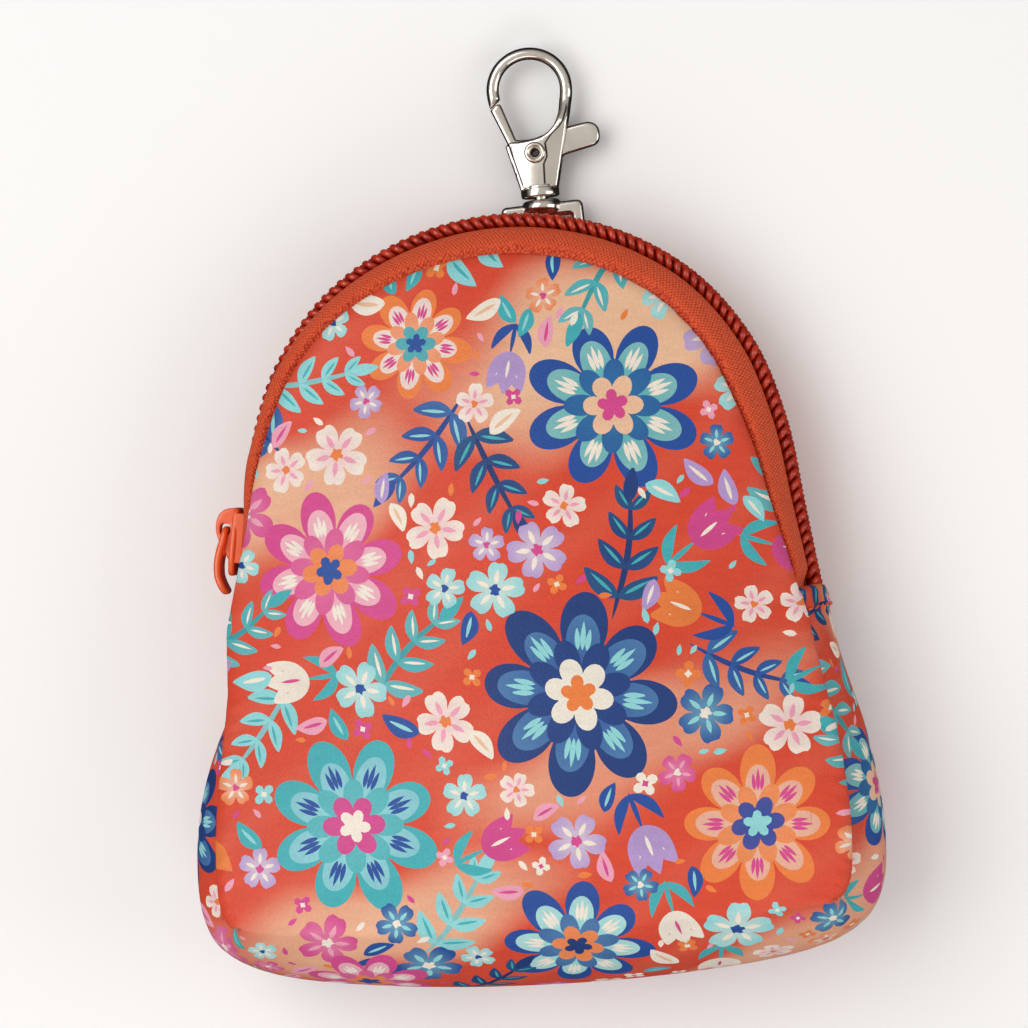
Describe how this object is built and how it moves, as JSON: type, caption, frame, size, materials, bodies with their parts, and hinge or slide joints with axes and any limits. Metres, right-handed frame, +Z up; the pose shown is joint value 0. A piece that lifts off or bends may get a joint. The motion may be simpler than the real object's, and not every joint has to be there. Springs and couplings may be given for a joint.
{
  "type": "coin pouch",
  "caption": "Arch-shaped zipped coin pouch of printed coated cloth, lying on its back, with a swivel trigger clip on a tab at the top.",
  "frame": {"origin": "on the flat of the back that rests on the floor, under the middle of the arch", "axes": "+X across the pouch, +Y from its bottom to the clip, +Z up, out of its front"},
  "size_m": [0.1038, 0.1422, 0.0402],
  "materials": {
    "printed_cover": "printed coated cloth with a fine pebbled grain, satin",
    "zip_tape": "woven orange zip tape",
    "zip_coil": "red-orange nylon coil",
    "enamel": "orange painted casting, glossy",
    "strap": "woven red-orange strap",
    "nickel": "nickel plated casting, polished"
  },
  "bodies": {
    "pouch": {"cover_front": "printed_cover", "cover_back": "printed_cover", "zip_tape_front": "zip_tape", "zip_tape_back": "zip_tape", "zip_coil": "zip_coil", "zip_slider": "enamel", "clip_tab": "strap", "clip_eye": "nickel"},
    "hook": {"clip_hook": "nickel", "clip_rivet": "nickel"},
    "gate": {"clip_gate": "nickel"},
    "puller": {"zip_puller": "enamel"}
  },
  "joints": [
    {"name": "hook_swivel", "type": "hinge", "parent": "pouch", "child": "hook", "pos_m": [0.005, 0.04225, 0.0033], "axis": [-0.0541, 0.9985, 0], "continuous": true},
    {"name": "gate_open", "type": "hinge", "parent": "hook", "child": "gate", "pos_m": [0.00462, 0.04934, 0.0033], "axis": [0, 0, -1], "range_deg": [0, 28], "stiffness_Nm_per_rad": 0.002},
    {"name": "puller_swing", "type": "hinge", "parent": "pouch", "child": "puller", "pos_m": [-0.04541, -0.00549, 0.01238], "axis": [0, 0, -1], "range_deg": [0, 160]}
  ]
}
